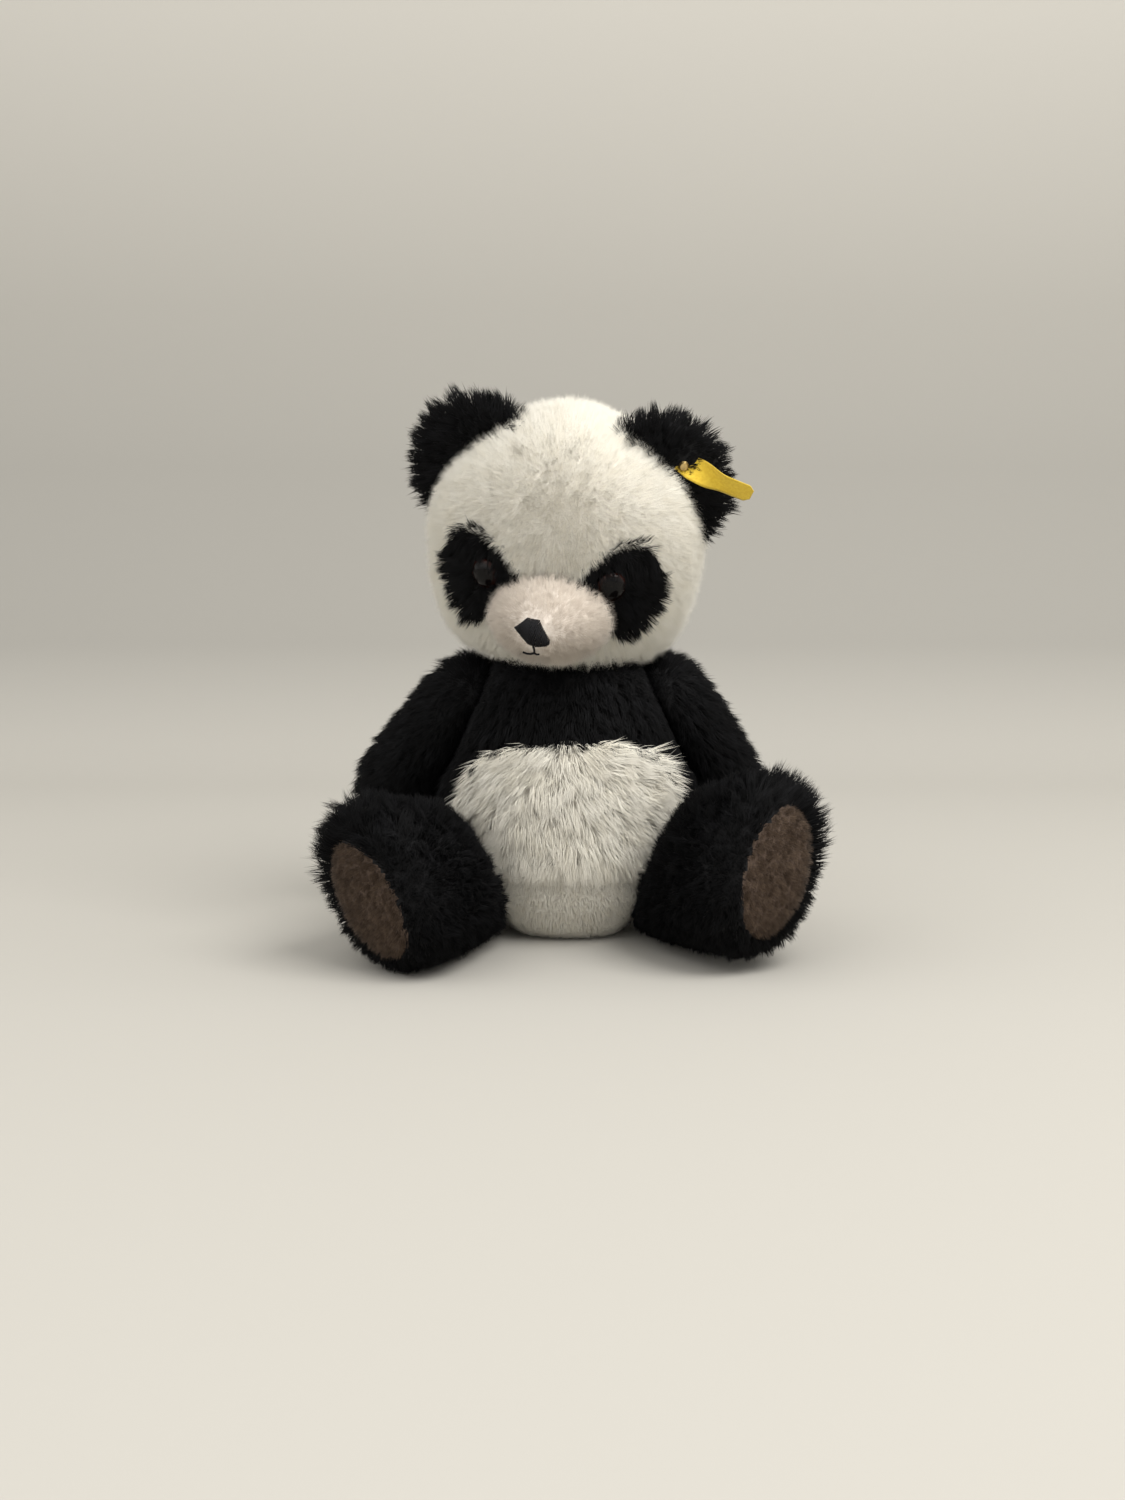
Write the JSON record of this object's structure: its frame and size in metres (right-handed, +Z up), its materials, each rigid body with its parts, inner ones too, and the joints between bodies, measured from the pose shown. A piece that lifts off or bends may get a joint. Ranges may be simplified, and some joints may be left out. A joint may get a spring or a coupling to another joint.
{
  "type": "jointed plush panda",
  "caption": "Sitting plush panda with a turning head and swinging arms and legs on plastic disc joints, domed eyes, suede-like foot pads and a ribbon tag in one ear.",
  "frame": {"origin": "middle of the torso's flat seat, on the surface that the toy sits on", "axes": "+Z up, -Y the way the belly faces, +X the toy's own left (the left of the object, not of a viewer in front)"},
  "size_m": [0.1917, 0.1742, 0.2299],
  "materials": {
    "white_plush": "matte",
    "belly_plush": "matte",
    "black_plush": "matte",
    "brown_plush": "matte",
    "fibre": "matte",
    "pellet_bag": "matte",
    "joint_plastic": "matte",
    "eye_plastic": "gloss",
    "thread": "matte",
    "ribbon": "matte",
    "brass": "satin"
  },
  "bodies": {
    "torso": {"torso_yoke_skin": "black_plush", "belly_panel": "belly_plush", "back_and_side_panel": "belly_plush", "torso_filling": "fibre", "bean_bag": "pellet_bag", "tail": "belly_plush", "neck_washer": "joint_plastic", "shoulder_left_washer": "joint_plastic", "shoulder_right_washer": "joint_plastic", "hip_left_washer": "joint_plastic", "hip_right_washer": "joint_plastic"},
    "head": {"head_skin": "white_plush", "head_filling": "fibre", "muzzle_skin": "white_plush", "muzzle_filling": "fibre", "eye_patch_left": "black_plush", "eye_patch_right": "black_plush", "eye_left": "eye_plastic", "eye_right": "eye_plastic", "eye_washer_left": "joint_plastic", "eye_washer_right": "joint_plastic", "ear_left": "black_plush", "ear_right": "black_plush", "nose": "thread", "mouth_stitch": "thread", "ear_tag": "ribbon", "tag_rivet": "brass", "tag_rivet_washer": "brass", "neck_disc_and_post": "joint_plastic", "neck_lock_ring": "joint_plastic"},
    "arm_left": {"arm_left_skin": "black_plush", "arm_left_filling": "fibre", "shoulder_left_disc_and_post": "joint_plastic", "shoulder_left_lock_ring": "joint_plastic"},
    "leg_left": {"leg_left_skin": "black_plush", "foot_pad_left": "brown_plush", "leg_left_filling": "fibre", "hip_left_disc_and_post": "joint_plastic", "hip_left_lock_ring": "joint_plastic"},
    "arm_right": {"arm_right_skin": "black_plush", "arm_right_filling": "fibre", "shoulder_right_disc_and_post": "joint_plastic", "shoulder_right_lock_ring": "joint_plastic"},
    "leg_right": {"leg_right_skin": "black_plush", "foot_pad_right": "brown_plush", "leg_right_filling": "fibre", "hip_right_disc_and_post": "joint_plastic", "hip_right_lock_ring": "joint_plastic"}
  },
  "joints": [
    {"name": "neck_turn", "type": "hinge", "parent": "torso", "child": "head", "pos_m": [-0.00346, 0.00958, 0.13298], "axis": [0.0523, -0.3741, 0.9259], "continuous": true},
    {"name": "shoulder_left_swing", "type": "hinge", "parent": "torso", "child": "arm_left", "pos_m": [0.0395, 0.006, 0.1005], "axis": [0.9052, 0, 0.4251], "range_deg": [-8, 85]},
    {"name": "shoulder_right_swing", "type": "hinge", "parent": "torso", "child": "arm_right", "pos_m": [-0.0395, 0.006, 0.1005], "axis": [0.9052, 0, -0.4251], "range_deg": [-8, 85]},
    {"name": "hip_left_swing", "type": "hinge", "parent": "torso", "child": "leg_left", "pos_m": [0.0406, -0.01, 0.026], "axis": [0.8319, -0.1904, -0.5212], "range_deg": [-30, 90]},
    {"name": "hip_right_swing", "type": "hinge", "parent": "torso", "child": "leg_right", "pos_m": [-0.0406, -0.01, 0.026], "axis": [0.8319, 0.1904, 0.5212], "range_deg": [-30, 90]}
  ]
}
